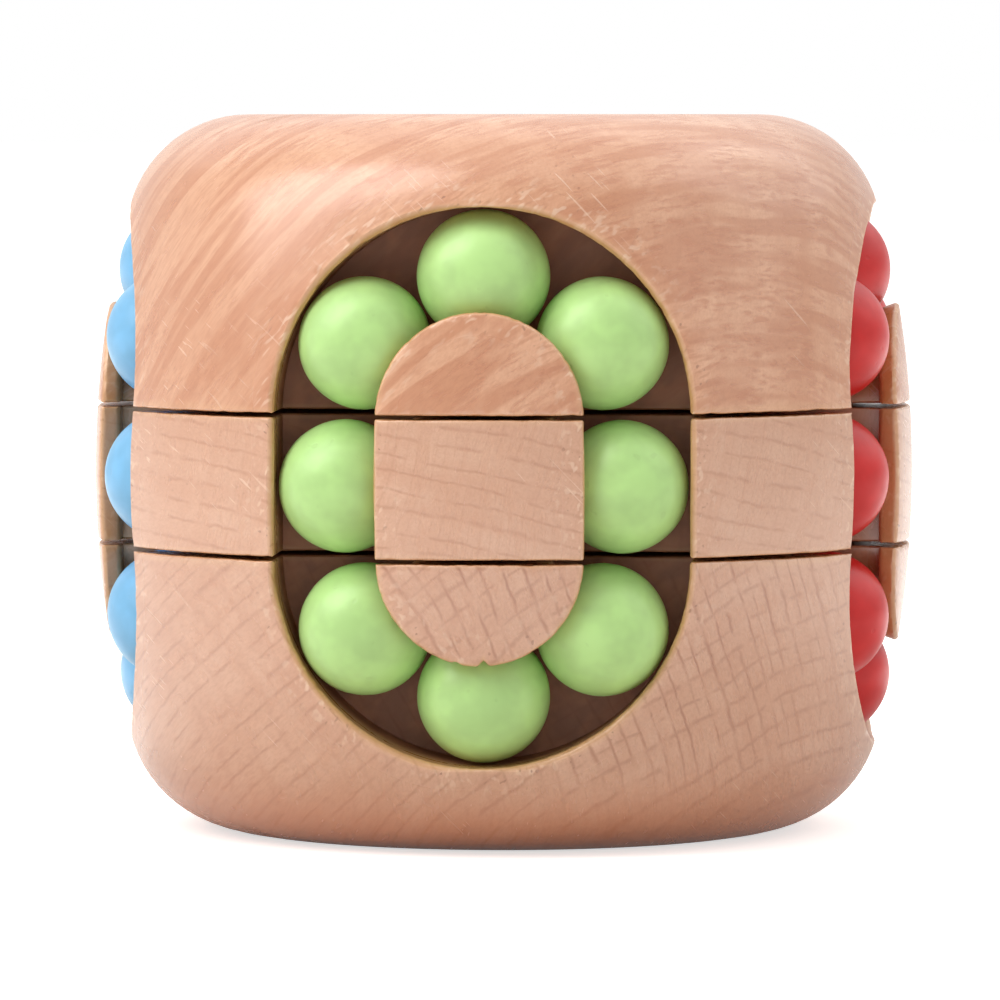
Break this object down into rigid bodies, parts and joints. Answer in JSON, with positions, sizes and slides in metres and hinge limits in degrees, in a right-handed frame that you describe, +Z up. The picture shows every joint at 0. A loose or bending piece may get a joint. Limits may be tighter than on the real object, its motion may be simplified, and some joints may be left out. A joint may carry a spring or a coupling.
{
  "type": "bead barrel puzzle",
  "caption": "Wooden brain teaser: a rounded beech barrel in layers that turn on a hidden spindle, with rings of painted beads running in a stadium track on each face.",
  "frame": {"origin": "middle of the barrel's flat bottom face", "axes": "+Z up the spindle, -Y out of the face with the green beads, +X out of the face with the red ones"},
  "size_m": [0.07, 0.07, 0.061],
  "materials": {
    "top_beech": "satin lacquer",
    "middle_beech": "satin lacquer",
    "bottom_beech": "satin lacquer",
    "plug_beech": "satin lacquer",
    "green_paint": "satin paint on wood",
    "red_paint": "satin paint on wood",
    "yellow_paint": "satin paint on wood",
    "blue_paint": "satin paint on wood",
    "steel": "zinc plated",
    "spring_steel": "blued",
    "nylon": "moulded"
  },
  "bodies": {
    "middle": {"middle_layer": "middle_beech", "spindle": "steel", "upper_seat_washer": "steel", "upper_inner_spring": "spring_steel", "upper_outer_spring": "spring_steel", "upper_outer_washer": "steel", "upper_lock_nut": "steel", "lower_seat_washer": "steel", "lower_inner_spring": "spring_steel", "lower_outer_spring": "spring_steel", "lower_outer_washer": "steel", "lower_lock_nut": "steel"},
    "top": {"top_layer": "top_beech", "upper_bush": "nylon", "upper_plug": "plug_beech"},
    "bottom": {"bottom_layer": "bottom_beech", "lower_bush": "nylon", "lower_plug": "plug_beech"},
    "green_bead_1": {"green_bead_1": "green_paint"},
    "green_bead_2": {"green_bead_2": "green_paint"},
    "green_bead_3": {"green_bead_3": "green_paint"},
    "green_bead_4": {"green_bead_4": "green_paint"},
    "green_bead_5": {"green_bead_5": "green_paint"},
    "green_bead_6": {"green_bead_6": "green_paint"},
    "green_bead_7": {"green_bead_7": "green_paint"},
    "green_bead_8": {"green_bead_8": "green_paint"},
    "red_bead_1": {"red_bead_1": "red_paint"},
    "red_bead_2": {"red_bead_2": "red_paint"},
    "red_bead_3": {"red_bead_3": "red_paint"},
    "red_bead_4": {"red_bead_4": "red_paint"},
    "red_bead_5": {"red_bead_5": "red_paint"},
    "red_bead_6": {"red_bead_6": "red_paint"},
    "red_bead_7": {"red_bead_7": "red_paint"},
    "red_bead_8": {"red_bead_8": "red_paint"},
    "yellow_bead_1": {"yellow_bead_1": "yellow_paint"},
    "yellow_bead_2": {"yellow_bead_2": "yellow_paint"},
    "yellow_bead_3": {"yellow_bead_3": "yellow_paint"},
    "yellow_bead_4": {"yellow_bead_4": "yellow_paint"},
    "yellow_bead_5": {"yellow_bead_5": "yellow_paint"},
    "yellow_bead_6": {"yellow_bead_6": "yellow_paint"},
    "yellow_bead_7": {"yellow_bead_7": "yellow_paint"},
    "yellow_bead_8": {"yellow_bead_8": "yellow_paint"},
    "blue_bead_1": {"blue_bead_1": "blue_paint"},
    "blue_bead_2": {"blue_bead_2": "blue_paint"},
    "blue_bead_3": {"blue_bead_3": "blue_paint"},
    "blue_bead_4": {"blue_bead_4": "blue_paint"},
    "blue_bead_5": {"blue_bead_5": "blue_paint"},
    "blue_bead_6": {"blue_bead_6": "blue_paint"},
    "blue_bead_7": {"blue_bead_7": "blue_paint"},
    "blue_bead_8": {"blue_bead_8": "blue_paint"}
  },
  "joints": [
    {"name": "top_turn", "type": "hinge", "parent": "middle", "child": "top", "pos_m": [0, 0, 0.0305], "axis": [0, 0, 1], "continuous": true},
    {"name": "bottom_turn", "type": "hinge", "parent": "middle", "child": "bottom", "pos_m": [0, 0, 0.0305], "axis": [0, 0, 1], "continuous": true},
    {"name": "green_run_1", "type": "hinge", "parent": "top", "child": "green_bead_1", "pos_m": [0, 0, 0.03637], "axis": [0, -1, 0], "range_deg": [-29.5, 29.5]},
    {"name": "green_run_2", "type": "hinge", "parent": "top", "child": "green_bead_2", "pos_m": [0, 0, 0.03637], "axis": [0, -1, 0], "range_deg": [-29.5, 29.5]},
    {"name": "green_run", "type": "slide", "parent": "middle", "child": "green_bead_3", "axis": [0, 0, 1], "range_m": [-0.00585, 0.00585]},
    {"name": "green_run_4", "type": "hinge", "parent": "bottom", "child": "green_bead_4", "pos_m": [0, 0, 0.02463], "axis": [0, -1, 0], "range_deg": [-29.5, 29.5]},
    {"name": "green_run_5", "type": "hinge", "parent": "bottom", "child": "green_bead_5", "pos_m": [0, 0, 0.02463], "axis": [0, -1, 0], "range_deg": [-29.5, 29.5]},
    {"name": "green_run_6", "type": "hinge", "parent": "bottom", "child": "green_bead_6", "pos_m": [0, 0, 0.02463], "axis": [0, -1, 0], "range_deg": [-29.5, 29.5]},
    {"name": "green_run_7", "type": "slide", "parent": "middle", "child": "green_bead_7", "axis": [0, 0, 1], "range_m": [-0.00585, 0.00585]},
    {"name": "green_run_8", "type": "hinge", "parent": "top", "child": "green_bead_8", "pos_m": [0, 0, 0.03637], "axis": [0, -1, 0], "range_deg": [-29.5, 29.5]},
    {"name": "red_run_1", "type": "hinge", "parent": "top", "child": "red_bead_1", "pos_m": [0, 0, 0.03637], "axis": [1, 0, 0], "range_deg": [-29.5, 29.5]},
    {"name": "red_run_2", "type": "hinge", "parent": "top", "child": "red_bead_2", "pos_m": [0, 0, 0.03637], "axis": [1, 0, 0], "range_deg": [-29.5, 29.5]},
    {"name": "red_run", "type": "slide", "parent": "middle", "child": "red_bead_3", "axis": [0, 0, 1], "range_m": [-0.00585, 0.00585]},
    {"name": "red_run_4", "type": "hinge", "parent": "bottom", "child": "red_bead_4", "pos_m": [0, 0, 0.02463], "axis": [1, 0, 0], "range_deg": [-29.5, 29.5]},
    {"name": "red_run_5", "type": "hinge", "parent": "bottom", "child": "red_bead_5", "pos_m": [0, 0, 0.02463], "axis": [1, 0, 0], "range_deg": [-29.5, 29.5]},
    {"name": "red_run_6", "type": "hinge", "parent": "bottom", "child": "red_bead_6", "pos_m": [0, 0, 0.02463], "axis": [1, 0, 0], "range_deg": [-29.5, 29.5]},
    {"name": "red_run_7", "type": "slide", "parent": "middle", "child": "red_bead_7", "axis": [0, 0, 1], "range_m": [-0.00585, 0.00585]},
    {"name": "red_run_8", "type": "hinge", "parent": "top", "child": "red_bead_8", "pos_m": [0, 0, 0.03637], "axis": [1, 0, 0], "range_deg": [-29.5, 29.5]},
    {"name": "yellow_run_1", "type": "hinge", "parent": "top", "child": "yellow_bead_1", "pos_m": [0, 0, 0.03637], "axis": [0, 1, 0], "range_deg": [-29.5, 29.5]},
    {"name": "yellow_run_2", "type": "hinge", "parent": "top", "child": "yellow_bead_2", "pos_m": [0, 0, 0.03637], "axis": [0, 1, 0], "range_deg": [-29.5, 29.5]},
    {"name": "yellow_run", "type": "slide", "parent": "middle", "child": "yellow_bead_3", "axis": [0, 0, 1], "range_m": [-0.00585, 0.00585]},
    {"name": "yellow_run_4", "type": "hinge", "parent": "bottom", "child": "yellow_bead_4", "pos_m": [0, 0, 0.02463], "axis": [0, 1, 0], "range_deg": [-29.5, 29.5]},
    {"name": "yellow_run_5", "type": "hinge", "parent": "bottom", "child": "yellow_bead_5", "pos_m": [0, 0, 0.02463], "axis": [0, 1, 0], "range_deg": [-29.5, 29.5]},
    {"name": "yellow_run_6", "type": "hinge", "parent": "bottom", "child": "yellow_bead_6", "pos_m": [0, 0, 0.02463], "axis": [0, 1, 0], "range_deg": [-29.5, 29.5]},
    {"name": "yellow_run_7", "type": "slide", "parent": "middle", "child": "yellow_bead_7", "axis": [0, 0, 1], "range_m": [-0.00585, 0.00585]},
    {"name": "yellow_run_8", "type": "hinge", "parent": "top", "child": "yellow_bead_8", "pos_m": [0, 0, 0.03637], "axis": [0, 1, 0], "range_deg": [-29.5, 29.5]},
    {"name": "blue_run_1", "type": "hinge", "parent": "top", "child": "blue_bead_1", "pos_m": [0, 0, 0.03637], "axis": [-1, 0, 0], "range_deg": [-29.5, 29.5]},
    {"name": "blue_run_2", "type": "hinge", "parent": "top", "child": "blue_bead_2", "pos_m": [0, 0, 0.03637], "axis": [-1, 0, 0], "range_deg": [-29.5, 29.5]},
    {"name": "blue_run", "type": "slide", "parent": "middle", "child": "blue_bead_3", "axis": [0, 0, 1], "range_m": [-0.00585, 0.00585]},
    {"name": "blue_run_4", "type": "hinge", "parent": "bottom", "child": "blue_bead_4", "pos_m": [0, 0, 0.02463], "axis": [-1, 0, 0], "range_deg": [-29.5, 29.5]},
    {"name": "blue_run_5", "type": "hinge", "parent": "bottom", "child": "blue_bead_5", "pos_m": [0, 0, 0.02463], "axis": [-1, 0, 0], "range_deg": [-29.5, 29.5]},
    {"name": "blue_run_6", "type": "hinge", "parent": "bottom", "child": "blue_bead_6", "pos_m": [0, 0, 0.02463], "axis": [-1, 0, 0], "range_deg": [-29.5, 29.5]},
    {"name": "blue_run_7", "type": "slide", "parent": "middle", "child": "blue_bead_7", "axis": [0, 0, 1], "range_m": [-0.00585, 0.00585]},
    {"name": "blue_run_8", "type": "hinge", "parent": "top", "child": "blue_bead_8", "pos_m": [0, 0, 0.03637], "axis": [-1, 0, 0], "range_deg": [-29.5, 29.5]}
  ],
  "couplings": [
    {"joint": "green_run_1", "follows": "green_run", "rad_per_m": 87.84},
    {"joint": "green_run_2", "follows": "green_run", "rad_per_m": 87.84},
    {"joint": "green_run_4", "follows": "green_run", "rad_per_m": 87.84},
    {"joint": "green_run_5", "follows": "green_run", "rad_per_m": 87.84},
    {"joint": "green_run_6", "follows": "green_run", "rad_per_m": 87.84},
    {"joint": "green_run_7", "follows": "green_run", "ratio": -1},
    {"joint": "green_run_8", "follows": "green_run", "rad_per_m": 87.84},
    {"joint": "red_run_1", "follows": "red_run", "rad_per_m": 87.84},
    {"joint": "red_run_2", "follows": "red_run", "rad_per_m": 87.84},
    {"joint": "red_run_4", "follows": "red_run", "rad_per_m": 87.84},
    {"joint": "red_run_5", "follows": "red_run", "rad_per_m": 87.84},
    {"joint": "red_run_6", "follows": "red_run", "rad_per_m": 87.84},
    {"joint": "red_run_7", "follows": "red_run", "ratio": -1},
    {"joint": "red_run_8", "follows": "red_run", "rad_per_m": 87.84},
    {"joint": "yellow_run_1", "follows": "yellow_run", "rad_per_m": 87.84},
    {"joint": "yellow_run_2", "follows": "yellow_run", "rad_per_m": 87.84},
    {"joint": "yellow_run_4", "follows": "yellow_run", "rad_per_m": 87.84},
    {"joint": "yellow_run_5", "follows": "yellow_run", "rad_per_m": 87.84},
    {"joint": "yellow_run_6", "follows": "yellow_run", "rad_per_m": 87.84},
    {"joint": "yellow_run_7", "follows": "yellow_run", "ratio": -1},
    {"joint": "yellow_run_8", "follows": "yellow_run", "rad_per_m": 87.84},
    {"joint": "blue_run_1", "follows": "blue_run", "rad_per_m": 87.84},
    {"joint": "blue_run_2", "follows": "blue_run", "rad_per_m": 87.84},
    {"joint": "blue_run_4", "follows": "blue_run", "rad_per_m": 87.84},
    {"joint": "blue_run_5", "follows": "blue_run", "rad_per_m": 87.84},
    {"joint": "blue_run_6", "follows": "blue_run", "rad_per_m": 87.84},
    {"joint": "blue_run_7", "follows": "blue_run", "ratio": -1},
    {"joint": "blue_run_8", "follows": "blue_run", "rad_per_m": 87.84}
  ]
}
